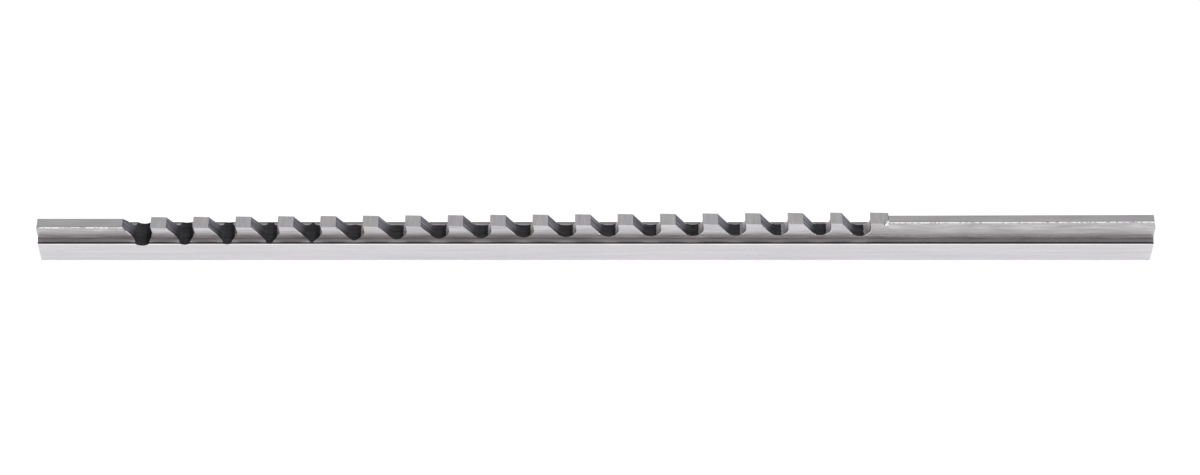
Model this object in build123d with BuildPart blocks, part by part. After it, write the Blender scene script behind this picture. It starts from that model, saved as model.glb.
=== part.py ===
from build123d import *
import math
import os

# Keyway broach: a rectangular body with a narrow rib along its top, the rib
# ground into a row of teeth that rise in small steps from the pilot to the
# push end. Millimetres. +X runs to the push end, Z is 0 on the flat back.

# Bar: the body, and the rib that stands on its two shoulders
length = 127.0
body_width = 3.175
body_height = 3.175
rib_width = 1.5875
shelf_width = 0.25
back_chamfer = 0.05
shoulder_break = 0.05

# Row of teeth, the height measured up from the shoulders
tooth_count = 18
pitch = 4.82
last_pitch = 4.53
pilot_length = 9.83
first_opening = 3.13
first_tooth_height = 1.945
rise_per_tooth = 0.052
land = 1.8
sizing_land = 1.36
finishing_land = 2.01

# Form of one tooth and of the gullet ahead of it, angles in degrees
relief_angle = 2.0
back_slope = 56.0
hook_angle = 5.0
gullet_radius = 1.14

# Plain ends: drops are measured down from the nearest tooth, and each broken
# edge by what it takes off the top and off the face beside it
pilot_drop = 0.06
pilot_break = 0.2
pilot_break_depth = 0.55
pilot_end_break = 0.12
pilot_end_depth = 0.12
shank_drop = 0.15
shank_end_drop = 0.01
shank_break = 0.26
shank_break_depth = 0.62
push_end_break = 0.2
push_end_depth = 0.85
ramp_length = 0.1

# Nick ground down into the shank's near edge behind the last tooth, pointed like a V from above
nick_width = 1.0
nick_reach = 0.6
nick_depth = 0.35

# Everything below follows from the sizes above
half_length = length / 2
half_rib = rib_width / 2
root_radius = (body_width - rib_width) / 2 - shelf_width
stepped = tooth_count - 2
pilot_end = -half_length + pilot_length
pilot_top = body_height + first_tooth_height - pilot_drop
top = body_height + first_tooth_height + rise_per_tooth * stepped
relief = math.tan(math.radians(relief_angle))
slope = math.tan(math.radians(back_slope))
hook = math.tan(math.radians(hook_angle))

# Cutting edges: every tooth is a step higher, but the last keeps its neighbour's height
tips = []
for number in range(tooth_count - 1):
    x = pilot_end + first_opening + number * pitch
    z = body_height + first_tooth_height + number * rise_per_tooth
    tips.append((x, z))
tips.append((tips[-1][0] + last_pitch, top))
lands = [land] * stepped + [sizing_land, finishing_land]


def gullet_corner(heel, tip):
    """Where the back of one tooth would meet the face of the next one."""
    run = tip[0] - heel[0] + (tip[1] - heel[1]) * hook
    depth = run / (1 / slope - hook)
    return (heel[0] + depth / slope, heel[1] - depth)


# Side outline, from the pilot end over the teeth to the push end. It runs on below the bar, because the
# sharp corners that the gullet radii later take away lie deeper than the back.
outline = [(-half_length, -body_height), (-half_length, pilot_top - pilot_end_depth)]
outline.append((-half_length + pilot_end_break, pilot_top))
heel = (pilot_end, pilot_top)
corners = []
for tip, flat in zip(tips, lands):
    corner = gullet_corner(heel, tip)
    corners.append(corner)
    outline.extend([heel, corner, tip])
    heel = (tip[0] + flat, tip[1] - flat * relief)
foot = (heel[0] + ramp_length, top - shank_drop)
push_end_top = top - shank_end_drop
outline.extend([heel, foot, (half_length - push_end_break, push_end_top)])
outline.extend([(half_length, push_end_top - push_end_depth), (half_length, -body_height)])
highest_corner = max(z for x, z in corners)

with BuildPart() as broach:
    # Bar with the body below and the rib above, one section along the length
    with BuildSketch(Plane.YZ) as section:
        Rectangle(body_width, body_height, align=(Align.CENTER, Align.MIN))
        Rectangle(rib_width, top, align=(Align.CENTER, Align.MIN))
        back, shoulders = section.vertices().group_by(Axis.Y)[:2]
        shoulders = shoulders.sort_by(Axis.X)
        fillet(shoulders[1:3], root_radius)
        chamfer(back, back_chamfer)
        chamfer([shoulders[0], shoulders[3]], shoulder_break)
    extrude(amount=half_length, both=True)

    # Teeth and gullets, all cut by the one side outline
    with BuildSketch(Plane.XZ) as side:
        with BuildLine():
            Polyline(*outline, close=True)
        make_face()
        pits = side.vertices().filter_by_position(Axis.Y, 0.001 - body_height, highest_corner)
        fillet(pits, gullet_radius)
    extrude(amount=body_width, both=True, mode=Mode.INTERSECT)

    # Broken edges along the tops of the pilot and of the shank
    climb = math.atan2(push_end_top - foot[1], half_length - push_end_break - foot[0])
    along_pilot = Plane(origin=(pilot_end + first_opening / 4, 0, pilot_top), x_dir=(0, 1, 0), z_dir=(-1, 0, 0))
    along_shank = Plane(
        origin=(foot[0], 0, foot[1]),
        x_dir=(0, 1, 0),
        z_dir=(math.cos(climb), 0, math.sin(climb)),
    )
    for start, up, across, down in (
        (along_pilot, -1, pilot_break, pilot_break_depth),
        (along_shank, 1, shank_break, shank_break_depth),
    ):
        with BuildSketch(start):
            with BuildLine():
                Polyline(
                    (half_rib - 2 * across, up * down),
                    (half_rib + across, -2 * up * down),
                    (half_rib + across, up * down),
                    close=True,
                )
            make_face()
            mirror(about=Plane.YZ)
        extrude(amount=length, mode=Mode.SUBTRACT)

    # Nick at the foot of the last tooth, drawn from above on its own floor
    with BuildSketch(Plane((heel[0], -half_rib, heel[1] - nick_depth))):
        with BuildLine():
            Polyline((0, nick_reach), (-nick_width, -nick_reach), (nick_width, -nick_reach), close=True)
        make_face()
    extrude(amount=top, mode=Mode.SUBTRACT)

broach.part.label = "broach"

os.makedirs("parts", exist_ok=True)
export_step(broach.part, "parts/broach.step")
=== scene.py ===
import math

import bmesh
import bpy
from mathutils import Matrix, Vector


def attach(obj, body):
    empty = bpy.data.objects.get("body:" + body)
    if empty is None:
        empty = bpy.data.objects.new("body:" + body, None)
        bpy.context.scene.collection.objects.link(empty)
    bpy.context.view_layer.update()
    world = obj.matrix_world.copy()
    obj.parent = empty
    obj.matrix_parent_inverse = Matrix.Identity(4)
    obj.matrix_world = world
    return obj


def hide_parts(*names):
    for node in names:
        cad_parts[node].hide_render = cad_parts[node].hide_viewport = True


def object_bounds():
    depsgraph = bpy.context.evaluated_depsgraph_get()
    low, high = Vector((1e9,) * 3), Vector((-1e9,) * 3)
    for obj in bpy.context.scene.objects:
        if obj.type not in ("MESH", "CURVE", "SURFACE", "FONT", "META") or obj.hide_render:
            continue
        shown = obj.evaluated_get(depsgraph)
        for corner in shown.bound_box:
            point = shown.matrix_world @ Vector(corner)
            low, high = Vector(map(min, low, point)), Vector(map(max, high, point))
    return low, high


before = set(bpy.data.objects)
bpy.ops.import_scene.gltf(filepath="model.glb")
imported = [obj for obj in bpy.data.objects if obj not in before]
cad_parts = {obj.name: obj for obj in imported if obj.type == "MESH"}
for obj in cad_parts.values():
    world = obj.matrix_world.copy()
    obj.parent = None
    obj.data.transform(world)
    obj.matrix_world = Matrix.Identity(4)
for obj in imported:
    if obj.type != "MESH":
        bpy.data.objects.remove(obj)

cad_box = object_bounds()

# Keyway broach in high speed steel: one square bar with a narrow rib, ground into a climbing row of teeth.
# The tool's sizes are in millimetres, and its mesh is turned to metres once, when it is finished.
MM = 0.001
length = (cad_box[1][0] - cad_box[0][0]) / MM
body_width = (cad_box[1][1] - cad_box[0][1]) / MM
top = (cad_box[1][2] - cad_box[0][2]) / MM

# Section of the bar
body_height = 3.175
half_length = length / 2
half_body = body_width / 2
half_rib = body_width / 4
shelf_width = 0.25
root_radius = half_body - half_rib - shelf_width
root_facets = 10
back_chamfer = 0.05
shoulder_break = 0.05

# Row of teeth: every cutting edge is a step higher, but the last keeps its neighbour's height
tooth_count = 18
pitch = 4.82
last_pitch = 4.53
land = 1.8
sizing_land = 1.36
finishing_land = 2.01
rise = 0.052
back_angle = math.radians(56.0)
hook_angle = math.radians(5.0)
gullet_radius = 1.125
gullet_facets = 24
back_slope = math.tan(back_angle)
hook = math.tan(hook_angle)
relief = math.tan(math.radians(2.0))
opening = pitch - land
heel_drop = rise + land * relief
first_top = top - rise * (tooth_count - 2)

# Plain ends, each broken edge given by what it takes off the top and off the face beside it.
# The two long ones are a little wider than on the solid, so that they catch the light as real ones do.
pilot_length = 9.83
first_opening = 3.13
pilot_top = first_top - 0.06
pilot_break = (0.22, 0.55)
pilot_end_break = (0.12, 0.12)
shank_top = top - 0.15
push_end_top = top - 0.01
shank_break = (0.34, 0.85)
push_end_break = (0.2, 0.85)
ramp_length = 0.1

# Nick in the shank's near edge behind the last tooth, pointed like a V from above
nick_width = 1.0
nick_reach = 0.6
nick_depth = 0.35

# Small edge breaks that only the eye needs, and the stoned facet along the shoulders
edge_rounding = 0.03
gullet_break = 0.1
nick_break = 0.05
stoned_edge = 0.13
stoned_depth = stoned_edge / 4

# Width of the bright strip ground beside each cutting face, tooth by tooth from the pilot
ground_strips = [0.2, 0.25, 0.38, 0.38, 0.26, 0.44, 0.43, 0.38, 0.45, 0.4,
                 0.42, 0.37, 0.58, 0.58, 0.7, 0.82, 0.55, 0.78]

# How far a cutter runs past the bar, how close two places count as one, and how narrow a sliver is closed
overrun = 1.0
hair = 0.001
sliver = 0.004

# Places along the tool and up its height that follow from the sizes above
pilot_end = -half_length + pilot_length
first_edge = pilot_end + first_opening
edges_x = [first_edge + pitch * n for n in range(tooth_count - 1)]
edges_x.append(edges_x[-1] + last_pitch)
edges_z = [first_top + rise * min(n, tooth_count - 2) for n in range(tooth_count)]
shank_start = edges_x[-1] + finishing_land
shank_foot = shank_start + ramp_length
shank_climb = (push_end_top - shank_top) / (half_length - push_end_break[0] - shank_foot)
last_heel = top - finishing_land * relief
root_top = body_height + root_radius


def linear(code):
    """An sRGB hex colour as the linear colour that a node wants."""
    channels = [int(code[i:i + 2], 16) / 255 for i in (1, 3, 5)]
    return [c / 12.92 if c <= 0.04045 else ((c + 0.055) / 1.055) ** 2.4 for c in channels] + [1.0]


def add(tree, kind, links=None, **settings):
    """A new node with its settings, its inputs given as sockets to link or as plain values."""
    node = tree.nodes.new(kind)
    for name, value in settings.items():
        setattr(node, name, value)
    for key, value in (links or {}).items():
        if isinstance(value, bpy.types.NodeSocket):
            tree.links.new(value, node.inputs[key])
        else:
            node.inputs[key].default_value = value
    return node


# Form of the bar before its teeth are cut


def mesh_object(name, builder):
    """An object whose mesh a function fills in through bmesh."""
    bm = bmesh.new()
    builder(bm)
    bmesh.ops.recalc_face_normals(bm, faces=bm.faces)
    mesh = bpy.data.meshes.new(name)
    bm.to_mesh(mesh)
    bm.free()
    obj = bpy.data.objects.new(name, mesh)
    bpy.context.scene.collection.objects.link(obj)
    return obj


def prism(bm, outline, along, start=(0, 0, 0)):
    """A closed prism: an outline of points, swept by one vector."""
    start = Vector(start)
    near = [bm.verts.new(start + Vector(p)) for p in outline]
    far = [bm.verts.new(start + Vector(p) + Vector(along)) for p in outline]
    bm.faces.new(near)
    bm.faces.new(far[::-1])
    for i in range(len(near)):
        j = (i + 1) % len(near)
        bm.faces.new((near[j], near[i], far[i], far[j]))


def blank(bm):
    """The bar before its teeth are ground: body, shoulders, root radii and a rib that is left too high."""
    half = [
        (half_body - back_chamfer, 0),
        (half_body, back_chamfer),
        (half_body, body_height - shoulder_break - stoned_edge),
        (half_body - stoned_depth, body_height - shoulder_break),
        (half_body - stoned_depth - shoulder_break, body_height),
    ]
    for i in range(root_facets + 1):
        turn = math.radians(90 * i / root_facets)
        y = half_rib + root_radius * (1 - math.sin(turn))
        z = body_height + root_radius * (1 - math.cos(turn))
        half.append((y, z))
    half.append((half_rib, top + overrun / 2))
    section = [(0, y, z) for y, z in half] + [(0, -y, z) for y, z in reversed(half)]
    prism(bm, section, (length, 0, 0), (-half_length, 0, 0))


def clearances(bm):
    """What is ground away at the plain ends: over the pilot and the shank, at their edges and in the nick."""
    high = top + overrun

    # Over the pilot, to a sloping end that falls within the first gullet
    within_gullet = first_edge - opening + 0.6
    run, drop = pilot_end_break
    over_pilot = [
        (-half_length - run, 0, pilot_top - 2 * drop),
        (-half_length + run, 0, pilot_top),
        (within_gullet, 0, pilot_top),
        (within_gullet + 0.3, 0, high),
        (-half_length - run, 0, high),
    ]
    prism(bm, over_pilot, (0, body_width, 0), (0, -half_body, 0))

    # Over the shank, down the short ramp behind the last land and up to the push end
    run, drop = push_end_break
    over_shank = [
        (shank_start - ramp_length, 0, 2 * last_heel - shank_top),
        (shank_foot, 0, shank_top),
        (half_length - run, 0, push_end_top),
        (half_length + run, 0, push_end_top - 2 * drop),
        (half_length + run, 0, high),
        (shank_start - ramp_length, 0, high),
    ]
    prism(bm, over_shank, (0, body_width, 0), (0, -half_body, 0))

    # Broken edges, each a wedge with one side on the facet that it leaves
    along_pilot = overrun + pilot_length + first_opening / 4
    for side in (-1, 1):
        for (across, down), start, z, reach, lift in (
            (pilot_break, -half_length - overrun, pilot_top, along_pilot, 0),
            (shank_break, shank_foot, shank_top, half_length, half_length * shank_climb),
        ):
            wedge = [
                (0, side * (half_rib - 2 * across), down),
                (0, side * (half_rib + across), -2 * down),
                (0, side * (half_rib + across), down),
            ]
            prism(bm, wedge, (reach, 0, lift), (start, 0, z))

    # Nick, its floor sloping out to the near face, so that it throws light up as the real one does
    deep = -2 * nick_depth
    nick = [(0, nick_reach, 0), (-nick_width, -nick_reach, deep), (nick_width, -nick_reach, deep)]
    prism(bm, nick, (0, 0, 2 * overrun), (shank_start, -half_rib, shank_top))


# Row of teeth in Geometry Nodes


def gullet_corner(width, drop):
    """Where the back of one tooth would meet the face of the next, seen from that next tip."""
    depth = (width + drop * hook) / (1 / back_slope - hook)
    return (depth / back_slope - width, -drop - depth, 0)


def floor_depth(width, drop):
    """How far under its tip a gullet's rounded floor lies, for this opening and this drop to its heel."""
    # The floor's centre lies on the line halfway between back and face, as far up it as the radius needs
    halfway = 0.75 * math.pi - (back_angle - hook_angle) / 2
    half_between = 0.25 * math.pi - (back_angle + hook_angle) / 2
    lift = math.sin(halfway) / math.sin(half_between) - 1
    return -gullet_corner(width, drop)[1] - lift * gullet_radius


def cutter_scale(width, drop):
    """How much the cutter grows along and down for a gullet of this opening and this drop to its heel."""
    down = floor_depth(width, drop) / floor_depth(opening, heel_drop)
    along = width / (opening + (heel_drop - drop / down) / back_slope)
    return (along, 1, down)


def cutter_nodes(tree, given, index):
    """One gullet cutter, with the cutting edge that it leaves at the origin."""
    # Side outline, drawn flat: the cutting edge is the third point, and None stands for it
    outline = (
        given["Heel"], given["Corner"], None,
        given["Relief End"], given["Upper Right"], given["Upper Left"],
    )
    corners = add(tree, "GeometryNodeIndexSwitch", data_type="VECTOR")
    while len(corners.index_switch_items) < len(outline):
        corners.index_switch_items.new()
    tree.links.new(index, corners.inputs[0])
    for place, point in enumerate(outline):
        if point is not None:
            tree.links.new(point, corners.inputs[place + 1])
    points = add(tree, "GeometryNodeMeshLine", {"Count": len(outline)})
    placed = add(tree, "GeometryNodeSetPosition", {
        "Geometry": points.outputs[0], "Position": corners.outputs[0]})
    line = add(tree, "GeometryNodeMeshToCurve", {"Mesh": placed.outputs[0]})
    ring = add(tree, "GeometryNodeSetSplineCyclic", {"Geometry": line.outputs[0], "Cyclic": True})

    # Only the corner between the back and the next face is rounded
    at_corner = add(tree, "FunctionNodeCompare", {2: index, 3: 1}, data_type="INT", operation="EQUAL")
    radius = add(tree, "ShaderNodeMath", {
        0: at_corner.outputs[0], 1: given["Gullet Radius"]}, operation="MULTIPLY")
    rounded = add(tree, "GeometryNodeFilletCurve", {
        "Curve": ring.outputs[0], "Count": given["Gullet Facets"], "Radius": radius.outputs[0]}, mode="POLY")
    flat = add(tree, "GeometryNodeFillCurve", {"Curve": rounded.outputs[0]}, mode="NGONS")

    # Stood upright and swept across the bar, closed at both ends
    half_cut = add(tree, "ShaderNodeMath", {0: given["Cut Width"], 1: 0.5}, operation="MULTIPLY")
    side = add(tree, "ShaderNodeCombineXYZ", {"Y": half_cut.outputs[0]})
    upright = add(tree, "GeometryNodeTransform", {
        "Geometry": flat.outputs[0], "Translation": side.outputs[0], "Rotation": (math.pi / 2, 0, 0)})
    sweep = add(tree, "GeometryNodeExtrudeMesh", {
        "Mesh": upright.outputs[0], "Offset Scale": given["Cut Width"], "Individual": False})
    back = add(tree, "GeometryNodeFlipFaces", {"Mesh": upright.outputs[0]})
    halves = add(tree, "GeometryNodeJoinGeometry", {0: sweep.outputs[0]})
    tree.links.new(back.outputs[0], halves.inputs[0])
    cutter = add(tree, "GeometryNodeMergeByDistance", {"Geometry": halves.outputs[0], "Distance": hair / 10})
    return cutter.outputs[0]


def row_nodes(tree, given, index, cutter):
    """The cutters in their row: each a step on and up, the last one set closer at its neighbour's height."""
    row = add(tree, "GeometryNodeMeshLine", {
        "Count": given["Teeth"], "Start Location": given["First Edge"], "Offset": given["Step"]})
    last = add(tree, "FunctionNodeIntegerMath", {0: given["Teeth"], 1: 1}, operation="SUBTRACT")
    is_last = add(tree, "FunctionNodeCompare", {2: index, 3: last.outputs[0]},
                  data_type="INT", operation="EQUAL")
    spaced = add(tree, "GeometryNodeSetPosition", {
        "Geometry": row.outputs[0], "Selection": is_last.outputs[0], "Offset": given["Last Shift"]})

    # The first and the last gullet are a little larger than the rest
    is_first = add(tree, "FunctionNodeCompare", {2: index, 3: 0}, data_type="INT", operation="EQUAL")
    from_first = add(tree, "GeometryNodeSwitch", {
        "Switch": is_first.outputs[0], "False": (1, 1, 1), "True": given["First Scale"]}, input_type="VECTOR")
    to_last = add(tree, "GeometryNodeSwitch", {
        "Switch": is_last.outputs[0], "False": from_first.outputs[0], "True": given["Last Scale"]},
        input_type="VECTOR")
    cutters = add(tree, "GeometryNodeInstanceOnPoints", {
        "Points": spaced.outputs[0], "Instance": cutter, "Scale": to_last.outputs[0]})
    realized = add(tree, "GeometryNodeRealizeInstances", {"Geometry": cutters.outputs[0]})
    return realized.outputs[0]


def teeth_tree(finish):
    """Geometry Nodes: one gullet cutter, repeated in a climbing row and cut from the bar."""
    tree = bpy.data.node_groups.new("row_of_teeth", "GeometryNodeTree")
    face = tree.interface
    for name, kind in (
        ("Bar", "NodeSocketGeometry"),
        ("Clearances", "NodeSocketObject"),
        ("Teeth", "NodeSocketInt"),
        ("Step", "NodeSocketVector"),
        ("First Edge", "NodeSocketVector"),
        ("First Scale", "NodeSocketVector"),
        ("Last Shift", "NodeSocketVector"),
        ("Last Scale", "NodeSocketVector"),
        ("Heel", "NodeSocketVector"),
        ("Corner", "NodeSocketVector"),
        ("Relief End", "NodeSocketVector"),
        ("Upper Right", "NodeSocketVector"),
        ("Upper Left", "NodeSocketVector"),
        ("Gullet Radius", "NodeSocketFloat"),
        ("Gullet Facets", "NodeSocketInt"),
        ("Cut Width", "NodeSocketFloat"),
    ):
        face.new_socket(name, in_out="INPUT", socket_type=kind)
    face.new_socket("Toothed Bar", in_out="OUTPUT", socket_type="NodeSocketGeometry")
    given = add(tree, "NodeGroupInput").outputs
    index = add(tree, "GeometryNodeInputIndex").outputs[0]

    cutters = row_nodes(tree, given, index, cutter_nodes(tree, given, index))
    ends = add(tree, "GeometryNodeObjectInfo", {"Object": given["Clearances"]})
    cut = add(tree, "GeometryNodeMeshBoolean", {
        "Mesh 1": given["Bar"], "Mesh 2": cutters, "Self Intersection": True},
        operation="DIFFERENCE", solver="EXACT")
    tree.links.new(ends.outputs["Geometry"], cut.inputs["Mesh 2"])
    whole = add(tree, "GeometryNodeRealizeInstances", {"Geometry": cut.outputs[0]})
    finished = add(tree, "GeometryNodeSetMaterial", {"Geometry": whole.outputs[0], "Material": finish})
    add(tree, "NodeGroupOutput", {0: finished.outputs[0]})
    return tree


def set_inputs(modifier, values):
    """Sets a Geometry Nodes modifier's named inputs through their identifiers."""
    for socket in modifier.node_group.interface.items_tree:
        if socket.in_out == "INPUT" and socket.name in values:
            modifier[socket.identifier] = values[socket.name]


def baked(obj, name):
    """The object with its modifiers applied, as a plain mesh object; the original goes."""
    evaluated = obj.evaluated_get(bpy.context.evaluated_depsgraph_get())
    mesh = bpy.data.meshes.new_from_object(evaluated)
    mesh.name = name
    result = bpy.data.objects.new(name, mesh)
    bpy.context.scene.collection.objects.link(result)
    bpy.data.objects.remove(obj)
    return result


def cut_bar(finish):
    """The bar with its plain ends cleared and its teeth cut, in millimetres."""
    bar = mesh_object("bar_blank", blank)
    waste = mesh_object("end_clearances", clearances)
    cut = bar.modifiers.new("row_of_teeth", "NODES")
    cut.node_group = teeth_tree(finish)

    # Each cutter grinds the land behind its edge too, and reaches into the next one, so that no ridge stays
    relief_run = finishing_land + 0.2
    cutter_top = 1.5
    lean = 0.15
    set_inputs(cut, {
        "Clearances": waste,
        "Teeth": tooth_count,
        "Step": (pitch, 0, rise),
        "First Edge": (first_edge, 0, first_top),
        "First Scale": cutter_scale(first_opening, first_top - pilot_top),
        "Last Shift": (last_pitch - pitch, 0, -rise),
        "Last Scale": cutter_scale(last_pitch - sizing_land, sizing_land * relief),
        "Heel": (-opening, -heel_drop, 0),
        "Corner": gullet_corner(opening, heel_drop),
        "Relief End": (relief_run, -relief_run * relief, 0),
        "Upper Right": (relief_run + lean, cutter_top, 0),
        "Upper Left": (-opening - lean, cutter_top, 0),
        "Gullet Radius": gullet_radius,
        "Gullet Facets": gullet_facets,
        "Cut Width": body_width + overrun,
    })
    bpy.context.view_layer.update()
    whole = baked(bar, "toothed_bar")
    bpy.data.objects.remove(waste)
    return whole


# Sorting of the ground surfaces, and the small breaks between them

# Where each kind of surface lies, in mm
row_start = pilot_end - 0.05
row_end = shank_start - 0.2
tops_from = first_top - 0.3
breaks_from = first_top - 0.8
facets_from = body_height - 0.3
roots_to = root_top + 0.01
nick_from = last_heel - nick_depth
nick_to = last_heel - sliver

# How squarely a face looks along an axis, as the cosine of the angle between them
squarely = 0.999
level = 0.98
nearly = 0.95
steeply = 0.9
foot_of_root = 0.8
partly = 0.3
slightly = 0.2
hardly = 0.1
at_all = 0.02


def region(face):
    """Which ground surface a face belongs to, by where it lies and where it looks."""
    x, y, z = face.calc_center_median()
    out = abs(y)
    endways, sideways, up = abs(face.normal.x), abs(face.normal.y), face.normal.z
    in_row = row_start < x < row_end

    # The nick's floor and walls, but not the rib's near face around it
    if abs(x - shank_start) < nick_width and y < 0 and nick_from < z < nick_to and sideways < steeply:
        return "nick"
    # Back, end faces, and the upright faces of the body and of the rib
    if up < -nearly or endways > squarely and not in_row:
        return "side"
    if sideways > squarely:
        if out > half_body - hair:
            return "side"
        return "wall" if in_row else "plain_wall"
    # Tops, none of them much lower than the first tooth
    if up > level and z > tops_from:
        return "land" if in_row else "plain_top"
    # Facets along the shoulders' outer edges, then what lies between them and the rib
    if endways < hardly and out > half_body - stoned_depth and z > facets_from:
        return "shoulder"
    beside_rib = half_rib - hair < out < half_body - stoned_depth and z < roots_to
    if beside_rib and endways < slightly and up > at_all:
        if z < body_height + hair:
            return "shelf"
        return "root_foot" if up > foot_of_root else "root"
    if in_row and sideways < partly:
        return "gullet"
    # Steep facets along the top edges of the pilot and the shank
    if z > breaks_from and sideways > steeply and endways < hardly and up > at_all:
        return "break"
    return "edge"


def edge_break(kinds, height):
    """How widely a sharp edge is broken, by the surfaces that meet at it and its height above the back."""
    # A gullet's edges stay sharp as far up as the foot of the walls, where no break can end cleanly
    wall_foot = root_top + 0.12
    nick_rim = last_heel - 0.01
    if "gullet" in kinds:
        if kinds & {"root", "root_foot", "shoulder"} or "wall" in kinds and height < wall_foot:
            return 0
        if "land" not in kinds and height > root_top:
            return gullet_break
    if "nick" in kinds and height > nick_rim:
        return nick_break
    return edge_rounding


def break_edges(bar):
    """The cut bar cleaned of slivers and with its sharp edges broken."""
    bm = bmesh.new()
    bm.from_mesh(bar.data)
    bmesh.ops.remove_doubles(bm, verts=bm.verts, dist=sliver)
    bmesh.ops.dissolve_degenerate(bm, edges=bm.edges, dist=hair)
    bmesh.ops.recalc_face_normals(bm, faces=bm.faces)
    weight = bm.edges.layers.float.new("bevel_weight_edge")
    sharp = math.radians(33)
    for edge in bm.edges:
        if edge.calc_face_angle(0) > sharp:
            kinds = {region(face) for face in edge.link_faces}
            height = (edge.verts[0].co.z + edge.verts[1].co.z) / 2
            edge[weight] = edge_break(kinds, height) / gullet_break
    bm.to_mesh(bar.data)
    bm.free()
    rounding = bar.modifiers.new("broken_edges", "BEVEL")
    rounding.limit_method = "WEIGHT"
    rounding.width = gullet_break
    rounding.segments = 2
    rounding.use_clamp_overlap = False
    bpy.context.view_layer.update()
    return baked(bar, "broach_steel")


def sort_faces(bm, order):
    """Gives each face its finish, and smooths the curved surfaces but not the creases between them."""
    curved = ("plain_wall", "root", "root_foot", "gullet", "edge", "break")
    crease = math.radians(12)
    for face in bm.faces:
        kind = region(face)
        face.material_index = order.index(kind)
        face.smooth = kind in curved
    for edge in bm.edges:
        edge.smooth = edge.calc_face_angle(0) < crease


def mark_places(bm):
    """Notes at each point the distances that the finishes go by, in mm."""
    # How far the point lies ahead of its tooth's cutting face, and how wide that tooth's ground strip is
    from_face = bm.verts.layers.float.new("from_face")
    strip = bm.verts.layers.float.new("ground_strip")
    # How far it lies under the top of the pilot or of the shank, whichever is nearer
    below_top = bm.verts.layers.float.new("below_top")
    gullet_middles = [x - opening / 2 for x in edges_x]
    for vert in bm.verts:
        x, _, z = vert.co
        tooth = min(range(tooth_count), key=lambda n: abs(gullet_middles[n] - x))
        below = max(0, edges_z[tooth] - z)
        vert[from_face] = edges_x[tooth] + below * hook - x
        vert[strip] = ground_strips[tooth]
        plain_top = pilot_top if x < 0 else shank_top + shank_climb * (x - shank_foot)
        vert[below_top] = plain_top - z


def dress(piece, finishes):
    """Gives the piece its finishes, keeps it within the body's width and turns it to metres."""
    bm = bmesh.new()
    bm.from_mesh(piece.data)
    sort_faces(bm, list(finishes))
    mark_places(bm)
    for vert in bm.verts:
        vert.co.y = max(-half_body, min(half_body, vert.co.y))
    bmesh.ops.triangulate(bm, faces=[face for face in bm.faces if len(face.verts) > 4])
    bmesh.ops.dissolve_degenerate(bm, edges=bm.edges, dist=sliver)
    piece.data.materials.clear()
    for finish in finishes.values():
        piece.data.materials.append(finish)
    bm.to_mesh(piece.data)
    bm.free()
    piece.data.transform(Matrix.Scale(MM, 4))


# Finishes


def per_cell(x, y, z):
    """The Mapping scale that makes one noise cell this many millimetres along each axis of the tool."""
    return (1 / (x * MM), 1 / (y * MM), 1 / (z * MM))


def new_material(name):
    """An empty node material and its tree."""
    material = bpy.data.materials.new(name)
    material.use_nodes = True
    material.node_tree.nodes.clear()
    return material, material.node_tree


def with_painted_glints(tree, where, colour, width):
    """The colour under ragged white dashes along a top edge, painted as the glints of light that its rounded
    lip throws back.
    """
    below = add(tree, "ShaderNodeAttribute", attribute_name="below_top")
    place = add(tree, "ShaderNodeMapping", {"Vector": where, "Scale": per_cell(0.34, 0.4, 0.4)})
    dashes = add(tree, "ShaderNodeTexNoise", {"Vector": place.outputs[0], "Scale": 1.0, "Detail": 2.0})
    reach = add(tree, "ShaderNodeMapRange", {
        "Value": dashes.outputs["Fac"], "From Min": 0.34, "From Max": 0.54, "To Max": width})
    inside = add(tree, "ShaderNodeMath", {0: reach.outputs[0], 1: below.outputs["Fac"]}, operation="SUBTRACT")
    painted_glint = add(tree, "ShaderNodeMapRange", {
        "Value": inside.outputs[0], "From Min": -0.04, "From Max": 0.04})
    tone = add(tree, "ShaderNodeMix", {
        0: painted_glint.outputs[0], 6: colour, 7: linear("#ffffff")}, data_type="RGBA")
    return tone.outputs[2]


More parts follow.
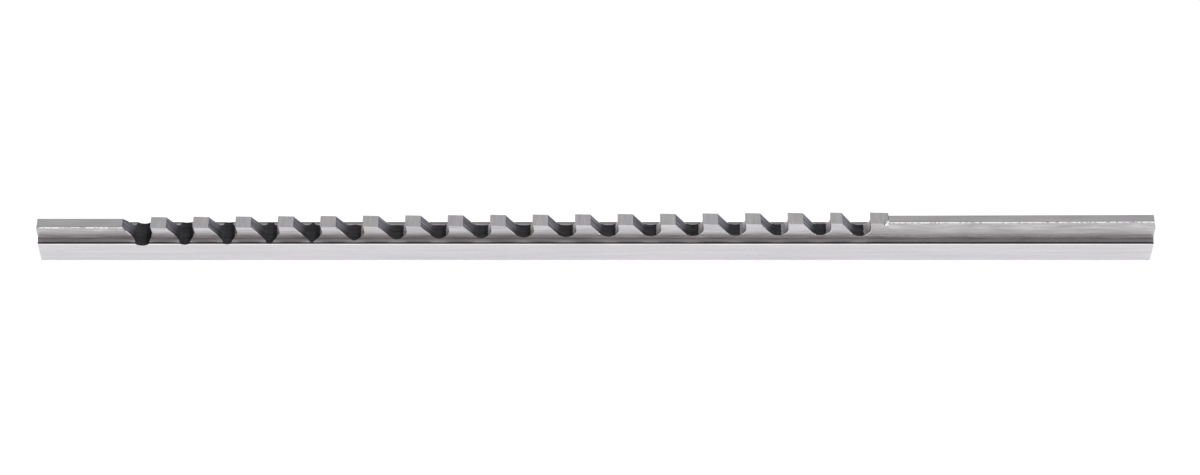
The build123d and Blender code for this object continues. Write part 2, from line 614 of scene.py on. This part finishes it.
def ground_steel(name, bright, dull, roughness, line, depth, crosswise=False, painted_glint=0):
    """High speed steel off a grinding wheel: fine parallel lines over slow, cloudy changes of shine."""
    # Real lines are about 0.02 mm wide, too fine to show here, so they are drawn some 0.1 mm wide
    long, thin = line
    line_cell = (long, thin, thin)
    cloud_cell = (1.5 * long, 4 * thin, 4 * thin)
    if crosswise:
        line_cell, cloud_cell = [(y, x, z) for x, y, z in (line_cell, cloud_cell)]
    material, tree = new_material(name)
    where = add(tree, "ShaderNodeTexCoord").outputs["Object"]
    line_place = add(tree, "ShaderNodeMapping", {"Vector": where, "Scale": per_cell(*line_cell)})
    lines = add(tree, "ShaderNodeTexNoise", {
        "Vector": line_place.outputs[0], "Scale": 1.0, "Detail": 3.0, "Roughness": 0.6})
    cloud_place = add(tree, "ShaderNodeMapping", {"Vector": where, "Scale": per_cell(*cloud_cell)})
    clouds = add(tree, "ShaderNodeTexNoise", {"Vector": cloud_place.outputs[0], "Scale": 1.0, "Detail": 2.0})
    both = add(tree, "ShaderNodeMath", {0: lines.outputs["Fac"], 1: clouds.outputs["Fac"]}, operation="ADD")

    # The two noises add up to 1, give or take 0.3, and where they are high, the steel is bright and smooth
    shine = add(tree, "ShaderNodeMapRange", {"Value": both.outputs[0], "From Min": 0.7, "From Max": 1.3})
    tone = add(tree, "ShaderNodeMix", {
        0: shine.outputs[0], 6: linear(dull), 7: linear(bright)}, data_type="RGBA")
    polish = add(tree, "ShaderNodeMapRange", {
        "Value": shine.outputs[0], "To Min": roughness + 0.05, "To Max": roughness - 0.05})
    bump = add(tree, "ShaderNodeBump", {
        "Height": shine.outputs[0], "Strength": 1.0, "Distance": depth * MM})
    # Where a width is given, glints are painted as white dashes along the top edge
    colour = with_painted_glints(tree, where, tone.outputs[2], painted_glint) if painted_glint else tone.outputs[2]
    shader = add(tree, "ShaderNodeBsdfPrincipled", {
        "Base Color": colour, "Metallic": 1.0, "Roughness": polish.outputs[0],
        "Normal": bump.outputs[0]})
    add(tree, "ShaderNodeOutputMaterial", {"Surface": shader.outputs[0]})
    return material


def gullet_steel():
    """Gullets as hardened: a dark oxide skin with drawn lines, ground bright only beside a cutting face."""
    material, tree = new_material("oxide_skinned_gullet")
    where = add(tree, "ShaderNodeTexCoord").outputs["Object"]
    away = add(tree, "ShaderNodeAttribute", attribute_name="from_face")

    # Skin: nearly black on the floor, rubbed to a streaky grey up the back of the tooth before
    drawn_place = add(tree, "ShaderNodeMapping", {"Vector": where, "Scale": per_cell(3.5, 0.16, 3.5)})
    drawn = add(tree, "ShaderNodeTexNoise", {
        "Vector": drawn_place.outputs[0], "Scale": 1.0, "Detail": 2.5, "Roughness": 0.55})
    streaks = add(tree, "ShaderNodeMapRange", {
        "Value": drawn.outputs["Fac"], "From Min": 0.35, "From Max": 0.68})
    rubbed = add(tree, "ShaderNodeMapRange", {
        "Value": away.outputs["Fac"], "From Min": 1.5, "From Max": 2.75})
    floor_tone = add(tree, "ShaderNodeMix", {
        0: streaks.outputs[0], 6: linear("#3f3f41"), 7: linear("#58585b")}, data_type="RGBA")
    slope_tone = add(tree, "ShaderNodeMix", {
        0: streaks.outputs[0], 6: linear("#606065"), 7: linear("#9f9ea7")}, data_type="RGBA")
    skin = add(tree, "ShaderNodeMix", {
        0: rubbed.outputs[0], 6: floor_tone.outputs[2], 7: slope_tone.outputs[2]}, data_type="RGBA")

    # Ground strip, its border wandering a little to both sides of the width given for the tooth
    width = add(tree, "ShaderNodeAttribute", attribute_name="ground_strip")
    ragged_place = add(tree, "ShaderNodeMapping", {"Vector": where, "Scale": per_cell(1.0, 0.3, 0.3)})
    ragged = add(tree, "ShaderNodeTexNoise", {"Vector": ragged_place.outputs[0], "Scale": 1.0, "Detail": 2.0})
    wander = add(tree, "ShaderNodeMapRange", {
        "Value": ragged.outputs["Fac"], "To Min": -0.12, "To Max": 0.12})
    reach = add(tree, "ShaderNodeMath", {0: width.outputs["Fac"], 1: wander.outputs[0]}, operation="ADD")
    inside = add(tree, "ShaderNodeMath", {0: reach.outputs[0], 1: away.outputs["Fac"]}, operation="SUBTRACT")
    ground = add(tree, "ShaderNodeMapRange", {
        "Value": inside.outputs[0], "From Min": -0.02, "From Max": 0.04})

    tone = add(tree, "ShaderNodeMix", {
        0: ground.outputs[0], 6: skin.outputs[2], 7: linear("#e6e0e1")}, data_type="RGBA")
    polish = add(tree, "ShaderNodeMapRange", {
        "Value": ground.outputs[0], "To Min": 0.5, "To Max": 0.6})
    bump = add(tree, "ShaderNodeBump", {
        "Height": drawn.outputs["Fac"], "Strength": 1.0, "Distance": 0.012 * MM})
    shader = add(tree, "ShaderNodeBsdfPrincipled", {
        "Base Color": tone.outputs[2], "Metallic": 1.0, "Roughness": polish.outputs[0],
        "Normal": bump.outputs[0]})
    add(tree, "ShaderNodeOutputMaterial", {"Surface": shader.outputs[0]})
    return material


def all_finishes():
    """One finish for each kind of surface, in the order of the mesh's material slots."""
    # A ground finish gives its bright and its dull tone, its roughness, and then in mm the length and width
    # of a line and the depth of its bump
    return {
        # Body sides, back and end faces, surface ground: even and smooth, so that they mirror the pale bench
        "side": ground_steel("surface_ground_steel", "#d8d6d9", "#d0ced1", 0.26, (9.0, 0.12), 0.0006),
        # Rib walls between the gullets, form ground: shorter, patchier lines in a soft silver
        "wall": ground_steel("form_ground_steel", "#e3e0e3", "#c9c6c9", 0.42, (3.0, 0.14), 0.003),
        # Rib walls along the pilot and the shank, from a more worn wheel: the same lines, a shade greyer
        "plain_wall": ground_steel("plain_end_steel", "#d0cdcf", "#b6b3b5", 0.42, (3.0, 0.14), 0.003),
        # Narrow shelves on the shoulders, burnished by the wheel's side: a dark line between two bright ones,
        # its darkness painted shade from the rib above
        "shelf": ground_steel("painted_shade_shelf_steel", "#726e70", "#5e5a5c", 0.20, (3.0, 0.12), 0.001),
        # Root radii, left matt by the wheel's rounded corner: a grey band that darkens downwards
        "root": ground_steel("root_steel", "#dad4d5", "#b4adac", 0.66, (3.0, 0.12), 0.002),
        # Level feet of the root radii, as matt: painted a little paler, as light from above falls on them,
        # over the shelf's painted shade
        "root_foot": ground_steel("root_foot_painted_light_steel", "#f0eaeb", "#dcd5d6", 0.62, (3.0, 0.12), 0.002),
        # Relieved tooth tops, ground across the rib: a quiet mid grey with short cross lines
        "land": ground_steel(
            "relief_ground_steel", "#e0dee0", "#cccacc", 0.30, (1.4, 0.09), 0.0015, crosswise=True),
        # Tops of the pilot and the shank, surface ground lengthwise: the same grey with long lines
        "plain_top": ground_steel("ground_top_steel", "#d8d6d8", "#c8c6c8", 0.28, (4.0, 0.16), 0.0015),
        "gullet": gullet_steel(),
        # Nick, filed in one clean stroke: smooth and bare, a bright spot that throws the lamp back
        "nick": ground_steel("filed_nick_steel", "#ffffff", "#f4f2f5", 0.17, (0.6, 0.10), 0.0004),
        # Sharp edges touched with a stone: a rough, sparkling line
        "edge": ground_steel("stoned_edge_steel", "#ebe9ec", "#b2b0b3", 0.28, (0.6, 0.10), 0.005),
        # Broken edges along the pilot and the shank, stoned by hand: pale, with ragged white dashes on top
        # painted as glints
        "break": ground_steel(
            "stoned_break_steel", "#d2cfd1", "#b7b4b6", 0.30, (2.0, 0.14), 0.002, painted_glint=0.19),
        # Facets along the shoulders, stoned and painted pure white as a highlight: the lightest line on the
        # tool
        "shoulder": ground_steel("stoned_shoulder_painted_highlight_steel", "#ffffff", "#e6e4e8", 0.22, (2.0, 0.10), 0.001),
    }


# Studio, in metres


def softbox(name, size, place, glow):
    """A square-on lamp aimed at the tool, its glow given as the brightness of its face."""
    data = bpy.data.lights.new(name, "AREA")
    data.shape = "RECTANGLE"
    data.size, data.size_y = size
    data.energy = glow * math.pi * size[0] * size[1]
    lamp = bpy.data.objects.new(name, data)
    lamp.location = place
    lamp.rotation_euler = Vector(place).to_track_quat("Z", "Y").to_euler()
    bpy.context.scene.collection.objects.link(lamp)


def studio():
    """A white bench in a dim room, a wide soft light above and behind, and a narrow one above the camera."""
    bench_reach = 2.5
    bench_glow = 0.83
    room_glow = 0.165
    scene = bpy.context.scene
    scene.view_settings.view_transform = "Standard"

    # The bench glows only where it is seen, straight or mirrored, so the tool's shadow on it stays
    bench = mesh_object("bench", lambda bm: bmesh.ops.create_grid(
        bm, x_segments=1, y_segments=1, size=bench_reach))
    material, tree = new_material("white_laminate")
    rays = add(tree, "ShaderNodeLightPath").outputs
    seen = add(tree, "ShaderNodeMath", {
        0: rays["Is Camera Ray"], 1: rays["Is Glossy Ray"]}, operation="MAXIMUM")
    seen_at_all = add(tree, "ShaderNodeMath", {
        0: seen.outputs[0], 1: rays["Is Transmission Ray"]}, operation="MAXIMUM")
    strength = add(tree, "ShaderNodeMath", {0: seen_at_all.outputs[0], 1: bench_glow}, operation="MULTIPLY")
    paper = add(tree, "ShaderNodeBsdfDiffuse", {"Color": linear("#eeeeee")})
    glow = add(tree, "ShaderNodeEmission", {"Strength": strength.outputs[0]})
    total = add(tree, "ShaderNodeAddShader", {0: paper.outputs[0], 1: glow.outputs[0]})
    add(tree, "ShaderNodeOutputMaterial", {"Surface": total.outputs[0]})
    bench.data.materials.append(material)

    world = bpy.data.worlds.new("dim_room")
    scene.world = world
    world.use_nodes = True
    world.node_tree.nodes.clear()
    walls = add(world.node_tree, "ShaderNodeBackground", {"Color": linear("#ffffff"), "Strength": room_glow})
    add(world.node_tree, "ShaderNodeOutputWorld", {0: walls.outputs[0]})

    softbox("back_softbox", (1.6, 1.0), (0.1, 0.55, 0.72), 0.40)
    softbox("front_softbox", (0.5, 0.16), (0, -0.35, 0.85), 1.0)


def camera():
    """The photograph's view: square on to the tool, well above it, from about a forearm's length."""
    elevation = math.radians(53.2)
    distance = 335 * MM
    focal_pixels = 2937.0
    picture_width, picture_height = 1200, 475

    # Where the middle of the shoulders lies in the photograph, in its own pixels
    shoulder_middle = (595.7, 232.7)
    data = bpy.data.cameras.new("camera")
    data.sensor_width = 36.0
    data.lens = focal_pixels / picture_width * data.sensor_width
    data.clip_start = 0.01
    eye = bpy.data.objects.new("camera", data)
    back = Vector((0, -math.cos(elevation), math.sin(elevation)))
    up = Vector((0, math.sin(elevation), math.cos(elevation)))
    per_pixel = distance / focal_pixels
    right_by = (picture_width / 2 - shoulder_middle[0]) * per_pixel
    down_by = (picture_height / 2 - shoulder_middle[1]) * per_pixel
    eye.location = Vector((right_by, 0, body_height * MM)) + back * distance - up * down_by
    eye.rotation_euler = (math.pi / 2 - elevation, 0, 0)
    bpy.context.scene.collection.objects.link(eye)
    bpy.context.scene.camera = eye


def main():
    finishes = all_finishes()
    piece = break_edges(cut_bar(finishes["side"]))
    dress(piece, finishes)
    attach(piece, "root")
    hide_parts("broach")
    studio()
    camera()


main()
